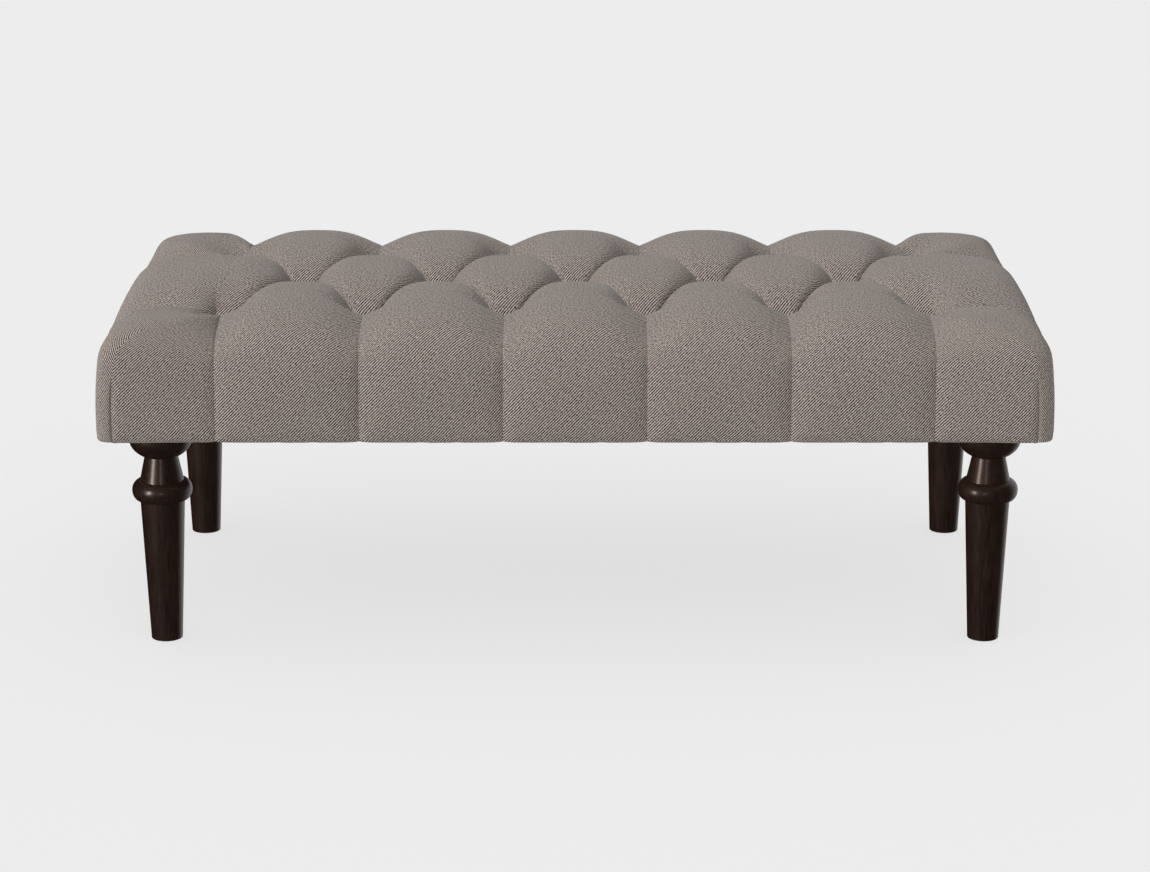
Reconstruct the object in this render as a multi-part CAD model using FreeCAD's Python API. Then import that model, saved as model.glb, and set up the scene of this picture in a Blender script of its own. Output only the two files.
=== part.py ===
import FreeCAD, Part
import math
import os

# Tufted bench-length footstool, built the way it is made: a dowelled softwood frame with corner
# blocks, a plywood deck, a foam pad, fibre wadding, a fabric cover drawn down at blind tufts, and
# four turned legs on hanger bolts. Millimetres. The origin is on the floor under the middle of
# the seat, +X runs along the seat, -Y is the front and +Z is up.

Vector = FreeCAD.Vector

# Overall sizes
SEAT_LENGTH = 1220.0
SEAT_DEPTH = 640.0
CUSHION_HEIGHT = 164.5
LEG_HEIGHT = 284.6
LEG_END_INSET = 74.4
LEG_SIDE_INSET = 79.0

# Fabric, layers and clearances
COVER_THICKNESS = 1.6
DUST_COVER_THICKNESS = 0.8
LAYER_GAP = 0.3
HOLE_GAP = 0.2
RUNOUT = 2.0
HEM_WIDTH = 42.0
DUST_COVER_MARGIN = 30.0

# Tufting
OUTER_TUFTS = 6
TUFT_END_MARGIN = 152.5
TUFT_SIDE_MARGIN = 158.0
TUFT_DROP = 43.5
TUFT_SEAT = 7.0
TUFT_NOSE = 9.0
CORNER_TUFT_SHIFT = 1.5
PLEAT_DROP = 27.5
PLEAT_ENTRY = 0.8
CREST_SAG = 6.5
CREST_TURN = 0.62

# Sides and shoulders of the cushion
EDGE_ROUND = 6.0
SHOULDER_DROP = 59.5
CREST_LOW = 2.0
CREST_BELLY = -2.0
CREST_LEAN = 7.0
CREST_SHOULDER = 17.0
CREST_REACH = 70.0
CREST_EDGE_DROP = 7.3
PLEAT_LOW = 6.0
PLEAT_BELLY = 9.0
PLEAT_LEAN = 16.0
PLEAT_SHOULDER = 24.0
PLEAT_REACH = 80.0
END_CREST_LEAN = 3.0
END_CREST_SHOULDER = 5.0
END_CREST_REACH = 67.0
END_CREST_DROP = 4.0
END_PLEAT_BELLY = 6.0
END_PLEAT_LEAN = 1.0
END_PLEAT_SHOULDER = 6.5
CORNER_LEAN = 5.5
CORNER_SHOULDER = 9.2
CORNER_REACH = 53.0
CORNER_EDGE_DROP = 13.5
CORNER_DOME_DROP = 8.0
CORNER_ROUND = 22.5
SHOULDER_RISE = 6.0

# Frame
RAIL_SETBACK = 20.0
RAIL_THICKNESS = 25.0
RAIL_HEIGHT = 60.0
CROSS_RAIL_HEIGHT = 45.0
CROSS_RAIL_PITCHES = 1.25
RAIL_EDGE = 1.5
DECK_THICKNESS = 12.0
BLOCK_LEG = 112.0
BLOCK_HEIGHT = 38.0
BLOCK_NOSE = 14.0

# Padding
FOAM_DROP = 42.0
FOAM_EDGE_ROUND = 28.0
FOAM_CORNER_ROUND = 32.0
DIMPLE_TOP_RADIUS = 46.0
DIMPLE_FLOOR_RADIUS = 14.0
DIMPLE_WADDING = 6.0
TUFT_HOLE = 9.0

# Twine and back buttons
TWINE = 1.8
TWINE_SPREAD = 4.0
STITCH = 2.2
STITCH_LENGTH = 7.6
BUTTON_DIAMETER = 22.0
BUTTON_THICKNESS = 4.0

# Dowels and screws
DOWEL_DIAMETER = 8.0
DOWEL_IN_RAIL = 18.0
DOWEL_IN_END = 28.0
DOWEL_SPACING = 26.0
SCREW_DIAMETER = 4.5
SCREW_HEAD = 9.0
DECK_SCREW_LENGTH = 38.0
DECK_SCREW_COUNT = 6
CROSS_SCREW_SPREAD = 120.0
BLOCK_SCREW_LENGTH = 45.0
BLOCK_SCREW_BITE = 18.0
BLOCK_SCREW_INSET = 72.0

# Leg fixing
BOLT_DIAMETER = 8.0
BOLT_IN_LEG = 42.0
BOLT_BEYOND_NUT = 3.0
BOLT_ROOM = 1.0
NUT_FLANGE = 22.0
NUT_FLANGE_THICKNESS = 1.6
NUT_BARREL = 10.0
NUT_BARREL_LENGTH = 11.0

# Turned leg
CUP_RADIUS = 41.0
CUP_BOWL_HEIGHT = 28.7
CUP_RIM_HEIGHT = 12.1
CUP_FOOT_RADIUS = 23.4
NECK_TOP_RADIUS = 21.4
NECK_FOOT_RADIUS = 28.4
NECK_LENGTH = 32.7
BEAD_RADIUS = 38.9
BEAD_HEIGHT = 26.1
BEAD_LIP = 1.6
SHANK_TOP_RADIUS = 28.8
FOOT_RADIUS = 20.4
FOOT_EDGE = 1.4
RIM_EDGE = 1.2

# Floor glides
GLIDE_DIAMETER = 24.0
GLIDE_THICKNESS = 4.0
GLIDE_PROUD = 0.5
GLIDE_EDGE = 0.4

# Heights and half sizes that follow from the above
HALF_LENGTH = SEAT_LENGTH / 2
HALF_DEPTH = SEAT_DEPTH / 2
SEAT_HEIGHT = LEG_HEIGHT + CUSHION_HEIGHT
TUFT_PITCH = (SEAT_LENGTH - 2 * TUFT_END_MARGIN) / (OUTER_TUFTS - 1)
ROW_PITCH = HALF_DEPTH - TUFT_SIDE_MARGIN
UNDERSIDE = LEG_HEIGHT + DUST_COVER_THICKNESS
RAIL_FOOT = UNDERSIDE + COVER_THICKNESS
RAIL_TOP = RAIL_FOOT + RAIL_HEIGHT
DECK_TOP = RAIL_TOP + DECK_THICKNESS
FOAM_TOP = SEAT_HEIGHT - FOAM_DROP
TUFT_HEIGHT = SEAT_HEIGHT - TUFT_DROP
PLEAT_HEIGHT = SEAT_HEIGHT - PLEAT_DROP
SHOULDER_HEIGHT = SEAT_HEIGHT - SHOULDER_DROP
BELLY_HEIGHT = (UNDERSIDE + EDGE_ROUND + SHOULDER_HEIGHT) / 2
WADDING_INSET = COVER_THICKNESS + LAYER_GAP
FRAME_LENGTH = SEAT_LENGTH - 2 * RAIL_SETBACK
FRAME_DEPTH = SEAT_DEPTH - 2 * RAIL_SETBACK
LEG_X = HALF_LENGTH - LEG_END_INSET
LEG_Y = HALF_DEPTH - LEG_SIDE_INSET

outer_x = [(i - (OUTER_TUFTS - 1) / 2) * TUFT_PITCH for i in range(OUTER_TUFTS)]
inner_x = [(a + b) / 2 for a, b in zip(outer_x, outer_x[1:])]
end_tuft = outer_x[-1]
end_inner = inner_x[-1]

os.makedirs("parts", exist_ok=True)


def save(name, shape):
    shape.exportStep("parts/" + name + ".step")
    print(name, len(shape.Solids), shape.isValid(), round(shape.Volume / 1000, 1))


def box(x0, x1, y0, y1, z0, z1):
    return Part.makeBox(x1 - x0, y1 - y0, z1 - z0, Vector(x0, y0, z0))


def eased_box(x0, x1, y0, y1, z0, z1, edge):
    block = box(x0, x1, y0, y1, z0, z1)
    return block.makeChamfer(edge, block.Edges)


# The tufted form: a patchwork of quadratic panels whose neighbours share their border rows


def place(side, along, setback, height):
    if side == "front":
        return Vector(along, setback - HALF_DEPTH, height)
    if side == "rear":
        return Vector(along, HALF_DEPTH - setback, height)
    if side == "left":
        return Vector(setback - HALF_LENGTH, along, height)
    return Vector(HALF_LENGTH - setback, along, height)


def middle(a, b):
    return (a + b) * 0.5


def bulged(left, crest, right):
    return [left, crest * 2 - middle(left, right), right]


def patchwork(rows):
    faces = []
    for i in range(0, len(rows) - 1, 2):
        for j in range(0, len(rows[0]) - 1, 2):
            poles = [row[j:j + 3] for row in rows[i:i + 3]]
            patch = Part.BSplineSurface()
            patch.buildFromPolesMultsKnots(poles, [3, 3], [3, 3], [0, 1], [0, 1], False, False, 2, 2)
            faces.append(patch.toShape())
    return faces


def lower_edges(rows):
    edges = []
    for j in range(0, len(rows[0]) - 1, 2):
        curve = Part.BezierCurve()
        curve.setPoles(rows[0][j:j + 3])
        edges.append(curve.toShape())
    return edges


def side_profile(low, belly, lean, shoulder, reach, top, inset):
    # setback and height from the turned-under hem up the side and over the shoulder
    return [
        (low + EDGE_ROUND, UNDERSIDE + inset),
        (low + inset, UNDERSIDE + inset),
        (low + inset, UNDERSIDE + EDGE_ROUND),
        (belly + inset, BELLY_HEIGHT),
        (lean + inset, SHOULDER_HEIGHT),
        (shoulder + inset, top - SHOULDER_RISE - inset),
        (reach, top - inset),
    ]


def crest_profile(inset):
    top = SEAT_HEIGHT - CREST_EDGE_DROP
    return side_profile(CREST_LOW, CREST_BELLY, CREST_LEAN, CREST_SHOULDER, CREST_REACH, top, inset)


def pleat_profile(inset):
    return side_profile(
        PLEAT_LOW, PLEAT_BELLY, PLEAT_LEAN, PLEAT_SHOULDER, PLEAT_REACH, PLEAT_HEIGHT, inset)


def end_crest_profile(inset):
    top = SEAT_HEIGHT - END_CREST_DROP
    return side_profile(
        CREST_LOW, CREST_BELLY, END_CREST_LEAN, END_CREST_SHOULDER, END_CREST_REACH, top, inset)


def end_pleat_profile(inset):
    return side_profile(
        PLEAT_LOW, END_PLEAT_BELLY, END_PLEAT_LEAN, END_PLEAT_SHOULDER, PLEAT_REACH, PLEAT_HEIGHT,
        inset)


def corner_profile(inset):
    top = SEAT_HEIGHT - CORNER_EDGE_DROP
    return side_profile(
        CREST_LOW, CREST_BELLY, CORNER_LEAN, CORNER_SHOULDER, CORNER_REACH, top, inset)


def pleat_entry(tuft_setback, inset):
    # last control of a side pleat before it drops into its tuft
    run = tuft_setback - TUFT_NOSE - PLEAT_REACH
    return PLEAT_REACH + PLEAT_ENTRY * run, PLEAT_HEIGHT + SHOULDER_RISE - inset


def diagonal(outer, inner, inset):
    # pleat between two tufts: up from one seat, level across the middle, down to the other
    centre = middle(outer, inner)
    centre.z = PLEAT_HEIGHT - inset
    first = middle(outer, centre)
    first.z = centre.z
    second = middle(centre, inner)
    second.z = centre.z
    return [outer, first, centre, second, inner]


def side_panel(side, left, right, tuft_setback, inner_setback, inset):
    centre = (left + right) / 2
    seat = TUFT_HEIGHT - inset
    top = SEAT_HEIGHT - inset
    pleats, crests = pleat_profile(inset), crest_profile(inset)
    if side in ("left", "right"):
        pleats, crests = end_pleat_profile(inset), end_crest_profile(inset)
    crest_reach = crests[-1][0]
    rows = []
    for (pleat_in, pleat_z), (crest_in, crest_z) in zip(pleats, crests):
        start = place(side, left, pleat_in, pleat_z)
        finish = place(side, right, pleat_in, pleat_z)
        rows.append(bulged(start, place(side, centre, crest_in, crest_z), finish))
    entry_in, entry_z = pleat_entry(tuft_setback, inset)
    crest_in = (crest_reach + tuft_setback - TUFT_NOSE) / 2
    start = place(side, left, entry_in, entry_z)
    finish = place(side, right, entry_in, entry_z)
    rows.append(bulged(start, place(side, centre, crest_in, top), finish))
    nose = tuft_setback - TUFT_NOSE
    left_nose = place(side, left, nose, seat)
    right_nose = place(side, right, nose, seat)
    rows.append(bulged(left_nose, place(side, centre, nose, top), right_nose))
    heel = tuft_setback + TUFT_SEAT
    left_heel = place(side, left + TUFT_SEAT, heel, seat)
    right_heel = place(side, right - TUFT_SEAT, heel, seat)
    between = place(side, centre, (nose + heel) / 2, top)
    rows.append(bulged(middle(left_nose, left_heel), between, middle(right_nose, right_heel)))
    rows.append(bulged(left_heel, place(side, centre, heel, top), right_heel))
    tip = inner_setback - TUFT_SEAT
    left_tip = place(side, centre - TUFT_SEAT, tip, seat)
    right_tip = place(side, centre + TUFT_SEAT, tip, seat)
    half = (heel + tip) / 2
    turn = half + CREST_TURN * (tip - half)
    fall = CREST_SAG * (1 + 2 * CREST_TURN)
    crests = [
        place(side, centre, (heel + half) / 2, top),
        place(side, centre, half, top - CREST_SAG),
        place(side, centre, turn, top - fall),
        middle(left_tip, right_tip),
    ]
    left_line = diagonal(left_heel, left_tip, inset)[1:]
    right_line = diagonal(right_heel, right_tip, inset)[1:]
    for start, crest, finish in zip(left_line, crests, right_line):
        rows.append(bulged(start, crest, finish))
    return rows


def diamond_panel(x, inset):
    seat = TUFT_HEIGHT - inset
    top = SEAT_HEIGHT - inset
    heel = ROW_PITCH - TUFT_SEAT
    half = (heel + TUFT_SEAT) / 2
    turn = half + CREST_TURN * (heel - half)
    fall = CREST_SAG * (1 + 2 * CREST_TURN)
    crests = [
        Vector(x, heel, seat),
        Vector(x, turn, top - fall),
        Vector(x, half, top - CREST_SAG),
        Vector(x, (half + TUFT_SEAT) / 2, top),
        Vector(x, TUFT_SEAT, top),
    ]
    side_x = TUFT_PITCH / 2 - TUFT_SEAT
    left_line = diagonal(Vector(x - TUFT_SEAT, heel, seat), Vector(x - side_x, TUFT_SEAT, seat), inset)
    right_line = diagonal(Vector(x + TUFT_SEAT, heel, seat), Vector(x + side_x, TUFT_SEAT, seat), inset)
    rear = [bulged(a, b, c) for a, b, c in zip(left_line, crests, right_line)]
    front = [[Vector(p.x, -p.y, p.z) for p in row] for row in rear]
    centre = [middle(a, b) for a, b in zip(front[-1], rear[-1])]
    return front + [centre] + rear[::-1]


def corner_panel(sign_x, sign_y, inset):
    def at(in_x, in_y, height):
        return Vector(sign_x * (HALF_LENGTH - in_x), sign_y * (HALF_DEPTH - in_y), height)

    tuft_x = HALF_LENGTH - end_tuft
    tuft_y = HALF_DEPTH - ROW_PITCH
    seat = TUFT_HEIGHT - inset
    rows = []
    pleats, end_pleats = pleat_profile(inset), end_pleat_profile(inset)
    for (side_in, side_z), (end_in, end_z), (edge_in, edge_z) in zip(
            pleats, end_pleats, corner_profile(inset)):
        turn = CORNER_ROUND + edge_in / 2
        rows.append([
            at(tuft_x, side_in, side_z),
            at((tuft_x + edge_in + turn) / 2, edge_in, edge_z),
            at(edge_in + turn, edge_in, edge_z),
            at(edge_in, edge_in, edge_z),
            at(edge_in, edge_in + turn, edge_z),
            at(edge_in, (tuft_y + edge_in + turn) / 2, edge_z),
            at(end_in, tuft_y, end_z),
        ])
    start = at(tuft_x, tuft_y - TUFT_NOSE, seat)
    finish = at(tuft_x - TUFT_NOSE, tuft_y, seat)
    last = [start + (finish - start) * (k / 6) for k in range(7)]
    dome = [middle(a, b) for a, b in zip(rows[-1], last)]
    for point in dome:
        point.z = SEAT_HEIGHT - CORNER_DOME_DROP - inset
    entry_in, entry_z = pleat_entry(tuft_y, inset)
    dome[0] = at(tuft_x, entry_in, entry_z)
    entry_in, entry_z = pleat_entry(tuft_x, inset)
    dome[6] = at(entry_in, tuft_y, entry_z)
    return rows + [dome, last]


def tuft_seats(inset):
    seat = TUFT_HEIGHT - inset
    heel = ROW_PITCH - TUFT_SEAT
    nose = ROW_PITCH + TUFT_NOSE
    outlines = []
    for x in inner_x:
        outlines.append([
            Vector(x - TUFT_SEAT, -TUFT_SEAT, seat),
            Vector(x + TUFT_SEAT, -TUFT_SEAT, seat),
            Vector(x + TUFT_SEAT, TUFT_SEAT, seat),
            Vector(x - TUFT_SEAT, TUFT_SEAT, seat),
        ])
    for sign in (-1, 1):
        for x in outer_x[1:-1]:
            outlines.append([
                Vector(x - TUFT_SEAT, sign * heel, seat),
                Vector(x + TUFT_SEAT, sign * heel, seat),
                Vector(x, sign * nose, seat),
            ])
        for x in (-end_tuft, end_tuft):
            out = math.copysign(1, x)
            outlines.append([
                Vector(x - out * TUFT_SEAT, sign * heel, seat),
                Vector(x, sign * nose, seat),
                Vector(x + out * TUFT_NOSE, sign * ROW_PITCH, seat),
            ])
    return [Part.Face(Part.makePolygon(points + points[:1])) for points in outlines]


def tufted_skin(inset):
    panels = []
    row_in = HALF_DEPTH - ROW_PITCH
    end_in = HALF_LENGTH - end_tuft
    for side in ("front", "rear"):
        for left, right in zip(outer_x, outer_x[1:]):
            panels.append(side_panel(side, left, right, row_in, HALF_DEPTH, inset))
    for side in ("left", "right"):
        inner_in = HALF_LENGTH - end_inner
        panels.append(side_panel(side, -ROW_PITCH, ROW_PITCH, end_in, inner_in, inset))
    for sign_x in (-1, 1):
        for sign_y in (-1, 1):
            panels.append(corner_panel(sign_x, sign_y, inset))
    faces = tuft_seats(inset)
    edges = []
    for rows in panels:
        faces += patchwork(rows)
        edges += lower_edges(rows)
    for x in outer_x[1:-1]:
        faces += patchwork(diamond_panel(x, inset))
    return faces, Part.Wire(Part.__sortEdges__(edges))


def solid_from(faces):
    shell = Part.makeShell(faces)
    shell.sewShape()
    solid = Part.Solid(shell)
    if solid.Volume < 0:
        solid.reverse()
    return solid


def rectangle(half_x, half_y, height):
    corners = [
        Vector(-half_x, -half_y, height),
        Vector(half_x, -half_y, height),
        Vector(half_x, half_y, height),
        Vector(-half_x, half_y, height),
    ]
    return Part.makePolygon(corners + corners[:1])


def ring(outside, inside):
    return Part.makeFace([outside, inside], "Part::FaceMakerBullseye").Faces[0]


def tuft_centres():
    # middle of each tuft seat, where the twine goes through
    centres = [Vector(x, 0, 0) for x in inner_x]
    run = math.hypot(TUFT_SEAT, TUFT_SEAT + TUFT_NOSE)
    nudge = TUFT_SEAT - TUFT_SEAT * (TUFT_SEAT + TUFT_NOSE) / (run + TUFT_SEAT)
    for sign in (-1, 1):
        for x in outer_x[1:-1]:
            centres.append(Vector(x, sign * (ROW_PITCH - nudge), 0))
        for x in (-end_tuft, end_tuft):
            out = math.copysign(CORNER_TUFT_SHIFT, x)
            centres.append(Vector(x + out, sign * (ROW_PITCH + CORNER_TUFT_SHIFT), 0))
    return centres


def upright_holes(points, diameter, foot, top):
    return Part.Compound([
        Part.makeCylinder(diameter / 2, top - foot, Vector(p.x, p.y, foot)) for p in points])


tufts = tuft_centres()
strands = []
for tuft in tufts:
    strands.append(tuft + Vector(-TWINE_SPREAD / 2, 0, 0))
    strands.append(tuft + Vector(TWINE_SPREAD / 2, 0, 0))


# Fabric cover, one sewn skin from hem to hem

outer_faces, outer_hem = tufted_skin(0.0)
inner_faces, inner_hem = tufted_skin(COVER_THICKNESS)
hem_x = HALF_LENGTH - HEM_WIDTH
hem_y = HALF_DEPTH - HEM_WIDTH
lower_hem = rectangle(hem_x, hem_y, UNDERSIDE)
upper_hem = rectangle(hem_x, hem_y, UNDERSIDE + COVER_THICKNESS)
cover_faces = outer_faces + inner_faces
cover_faces.append(ring(outer_hem, lower_hem))
cover_faces.append(ring(inner_hem, upper_hem))
cover_faces += lower_hem.extrude(Vector(0, 0, COVER_THICKNESS)).Faces
cover = solid_from(cover_faces)
stitch_foot = TUFT_HEIGHT - COVER_THICKNESS - RUNOUT
stitch_holes = upright_holes(strands, TWINE + HOLE_GAP, stitch_foot, TUFT_HEIGHT + RUNOUT)
cover = cover.cut(stitch_holes)
save("fabric_cover", cover)


# Foam pad with dimples under the tufts, and the wadding between it and the cover

def foam_block(grow):
    half_x = FRAME_LENGTH / 2 + grow
    half_y = FRAME_DEPTH / 2 + grow
    block = box(-half_x, half_x, -half_y, half_y, DECK_TOP, FOAM_TOP + grow)
    upright = [e for e in block.Edges if abs(e.Vertexes[0].Z - e.Vertexes[1].Z) > 1]
    block = block.makeFillet(FOAM_CORNER_ROUND + grow, upright)
    rim = [e for e in block.Edges if min(v.Z for v in e.Vertexes) > FOAM_TOP + grow - 0.01]
    block = block.makeFillet(FOAM_EDGE_ROUND + grow, rim)
    floor = TUFT_HEIGHT - WADDING_INSET - DIMPLE_WADDING + grow
    rise = FOAM_TOP + grow - floor
    for tuft in tufts:
        foot = Vector(tuft.x, tuft.y, floor)
        block = block.cut(Part.makeCone(DIMPLE_FLOOR_RADIUS - grow, DIMPLE_TOP_RADIUS - grow, rise, foot))
    return block


foam = foam_block(0.0)
foam = foam.cut(upright_holes(tufts, TUFT_HOLE, DECK_TOP - RUNOUT, FOAM_TOP))
save("foam_pad", foam)

skin_faces, skin_hem = tufted_skin(WADDING_INSET)
wadding = solid_from(skin_faces + [Part.Face(skin_hem)])
core_x = FRAME_LENGTH / 2 + LAYER_GAP
core_y = FRAME_DEPTH / 2 + LAYER_GAP
core = box(-core_x, core_x, -core_y, core_y, UNDERSIDE, DECK_TOP)
wadding = wadding.cut(core).cut(foam_block(LAYER_GAP))
wadding = wadding.cut(upright_holes(tufts, TUFT_HOLE, DECK_TOP, SEAT_HEIGHT))
save("fibre_wadding", wadding)


# Screws: the screw itself and the clearance that it needs share one outline

def screw(length, gap):
    head = SCREW_HEAD / 2 + gap / 2
    shank = SCREW_DIAMETER / 2 + gap / 2
    cone = Part.makeCone(head, shank, head - shank, Vector(0, 0, 0), Vector(0, 0, -1))
    return cone.fuse(Part.makeCylinder(shank, length + gap, Vector(0, 0, 0), Vector(0, 0, -1)))


def spread(count, first, last):
    return [first + (last - first) * i / (count - 1) for i in range(count)]


rail_line = FRAME_DEPTH / 2 - RAIL_THICKNESS / 2
end_line = FRAME_LENGTH / 2 - RAIL_THICKNESS / 2
cross_x = [-CROSS_RAIL_PITCHES * TUFT_PITCH, CROSS_RAIL_PITCHES * TUFT_PITCH]
screw_reach = FRAME_LENGTH / 2 - 2 * RAIL_THICKNESS
deck_screw_points = []
for y in (-rail_line, rail_line):
    for x in spread(DECK_SCREW_COUNT, -screw_reach, screw_reach):
        deck_screw_points.append(Vector(x, y, DECK_TOP))
for x in [-end_line] + cross_x + [end_line]:
    for y in (-CROSS_SCREW_SPREAD, CROSS_SCREW_SPREAD):
        deck_screw_points.append(Vector(x, y, DECK_TOP))


def deck_screw_set(gap):
    model = screw(DECK_SCREW_LENGTH, gap)
    return [model.translated(p) for p in deck_screw_points]


save("deck_screws", Part.Compound(deck_screw_set(0.0)))
deck_screw_room = Part.Compound(deck_screw_set(HOLE_GAP))


# Dowels: two at each end of the end rails and of the cross rails

dowel_length = DOWEL_IN_RAIL + DOWEL_IN_END
rail_inside = FRAME_DEPTH / 2 - RAIL_THICKNESS
dowel_points = []
for x in [-end_line] + cross_x + [end_line]:
    height = RAIL_HEIGHT if abs(x) == end_line else CROSS_RAIL_HEIGHT
    centre = RAIL_TOP - height / 2
    for y in (-rail_inside, rail_inside):
        for lift in (-DOWEL_SPACING / 2, DOWEL_SPACING / 2):
            dowel_points.append(Vector(x, y, centre + lift))


def dowel_set(gap):
    rods = []
    for p in dowel_points:
        out = math.copysign(1, p.y)
        start = Vector(p.x, p.y + out * (DOWEL_IN_RAIL + gap / 2), p.z)
        rod = Part.makeCylinder((DOWEL_DIAMETER + gap) / 2, dowel_length + gap, start, Vector(0, -out, 0))
        rods.append(rod)
    return Part.Compound(rods)


save("rail_dowels", dowel_set(0.0))
dowel_room = dowel_set(HOLE_GAP)


# Corner blocks, their screws, hanger bolts and tee nuts

block_x = FRAME_LENGTH / 2 - RAIL_THICKNESS
block_y = rail_inside
block_top = UNDERSIDE + BLOCK_HEIGHT
block_screw_height = RAIL_FOOT + (block_top - RAIL_FOOT) / 2


def mirrored(shape, sign_x, sign_y):
    if sign_x < 0:
        shape = shape.mirror(Vector(0, 0, 0), Vector(1, 0, 0))
    if sign_y < 0:
        shape = shape.mirror(Vector(0, 0, 0), Vector(0, 1, 0))
    return shape


def block_screw_pair(gap, bore):
    seat = BLOCK_SCREW_LENGTH - BLOCK_SCREW_BITE
    model = screw(BLOCK_SCREW_LENGTH, gap)
    if bore:
        well = Part.makeCylinder(SCREW_HEAD / 2 + gap, BLOCK_LEG, Vector(0, 0, 0))
        model = model.fuse(well)
    to_end = model.rotated(Vector(0, 0, 0), Vector(0, 1, 0), -90)
    to_end = to_end.translated(Vector(block_x - seat, block_y - BLOCK_SCREW_INSET, block_screw_height))
    to_long = model.rotated(Vector(0, 0, 0), Vector(1, 0, 0), 90)
    to_long = to_long.translated(Vector(block_x - BLOCK_SCREW_INSET, block_y - seat, block_screw_height))
    return [to_end, to_long]


def corner_block():
    points = [
        Vector(block_x, block_y, UNDERSIDE),
        Vector(block_x - BLOCK_LEG, block_y, UNDERSIDE),
        Vector(block_x - BLOCK_LEG, block_y - BLOCK_NOSE, UNDERSIDE),
        Vector(block_x - BLOCK_NOSE, block_y - BLOCK_LEG, UNDERSIDE),
        Vector(block_x, block_y - BLOCK_LEG, UNDERSIDE),
    ]
    block = Part.Face(Part.makePolygon(points + points[:1])).extrude(Vector(0, 0, BLOCK_HEIGHT))
    foot = Vector(LEG_X, LEG_Y, UNDERSIDE)
    block = block.cut(Part.makeCylinder((BOLT_DIAMETER + BOLT_ROOM) / 2, BLOCK_HEIGHT, foot))
    barrel_foot = Vector(LEG_X, LEG_Y, block_top - NUT_BARREL_LENGTH - HOLE_GAP)
    barrel = Part.makeCylinder((NUT_BARREL + HOLE_GAP) / 2, NUT_BARREL_LENGTH + HOLE_GAP, barrel_foot)
    block = block.cut(barrel)
    for room in block_screw_pair(HOLE_GAP, True):
        block = block.cut(room)
    return block


def tee_nut():
    flange_foot = Vector(LEG_X, LEG_Y, block_top)
    flange = Part.makeCylinder(NUT_FLANGE / 2, NUT_FLANGE_THICKNESS, flange_foot)
    barrel_foot = Vector(LEG_X, LEG_Y, block_top - NUT_BARREL_LENGTH)
    nut = flange.fuse(Part.makeCylinder(NUT_BARREL / 2, NUT_BARREL_LENGTH, barrel_foot))
    bore = Part.makeCylinder((BOLT_DIAMETER + HOLE_GAP) / 2, BLOCK_HEIGHT, barrel_foot)
    return nut.cut(bore).removeSplitter()


bolt_foot = LEG_HEIGHT - BOLT_IN_LEG
bolt_top = block_top + NUT_FLANGE_THICKNESS + BOLT_BEYOND_NUT


def hanger_bolt():
    radius = BOLT_DIAMETER / 2
    point = Part.makeCone(radius / 4, radius, radius, Vector(LEG_X, LEG_Y, bolt_foot))
    rod_foot = Vector(LEG_X, LEG_Y, bolt_foot + radius)
    rod = Part.makeCylinder(radius, bolt_top - rod_foot.z, rod_foot)
    return point.fuse(rod).removeSplitter()


corners = {
    "front_left": (-1, -1),
    "front_right": (1, -1),
    "rear_left": (-1, 1),
    "rear_right": (1, 1),
}
block_model = corner_block()
nut_model = tee_nut()
bolt_model = hanger_bolt()
screw_models = block_screw_pair(0.0, False)
screw_rooms = block_screw_pair(HOLE_GAP, False)
block_screw_room = []
bolts = []
nuts = []
block_screws = []
for corner, (sign_x, sign_y) in corners.items():
    save("corner_block_" + corner, mirrored(block_model, sign_x, sign_y))
    bolts.append(mirrored(bolt_model, sign_x, sign_y))
    nuts.append(mirrored(nut_model, sign_x, sign_y))
    block_screws += [mirrored(s, sign_x, sign_y) for s in screw_models]
    block_screw_room += [mirrored(s, sign_x, sign_y) for s in screw_rooms]
save("hanger_bolts", Part.Compound(bolts))
save("tee_nuts", Part.Compound(nuts))
save("block_screws", Part.Compound(block_screws))


# Rails and deck

joinery = Part.Compound([dowel_room, deck_screw_room] + block_screw_room)
half_frame_x = FRAME_LENGTH / 2
half_frame_y = FRAME_DEPTH / 2
rails = {
    "front_rail": (-half_frame_x, half_frame_x, -half_frame_y, -rail_inside),
    "rear_rail": (-half_frame_x, half_frame_x, rail_inside, half_frame_y),
    "left_end_rail": (-half_frame_x, -block_x, -rail_inside, rail_inside),
    "right_end_rail": (block_x, half_frame_x, -rail_inside, rail_inside),
}
for name, (x0, x1, y0, y1) in rails.items():
    rail = eased_box(x0, x1, y0, y1, RAIL_FOOT, RAIL_TOP, RAIL_EDGE)
    save(name, rail.cut(joinery))
cross_foot = RAIL_TOP - CROSS_RAIL_HEIGHT
for number, x in enumerate(cross_x):
    x0 = x - RAIL_THICKNESS / 2
    x1 = x + RAIL_THICKNESS / 2
    rail = eased_box(x0, x1, -rail_inside, rail_inside, cross_foot, RAIL_TOP, RAIL_EDGE)
    save("cross_rail_" + str(number + 1), rail.cut(joinery))

deck = box(-half_frame_x, half_frame_x, -half_frame_y, half_frame_y, RAIL_TOP, DECK_TOP)
deck = deck.cut(upright_holes(tufts, TUFT_HOLE, RAIL_TOP - RUNOUT, DECK_TOP + RUNOUT))
deck = deck.cut(deck_screw_room)
save("deck_board", deck)


# Back buttons under the deck and the twine loops that hold the tufts down

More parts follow.
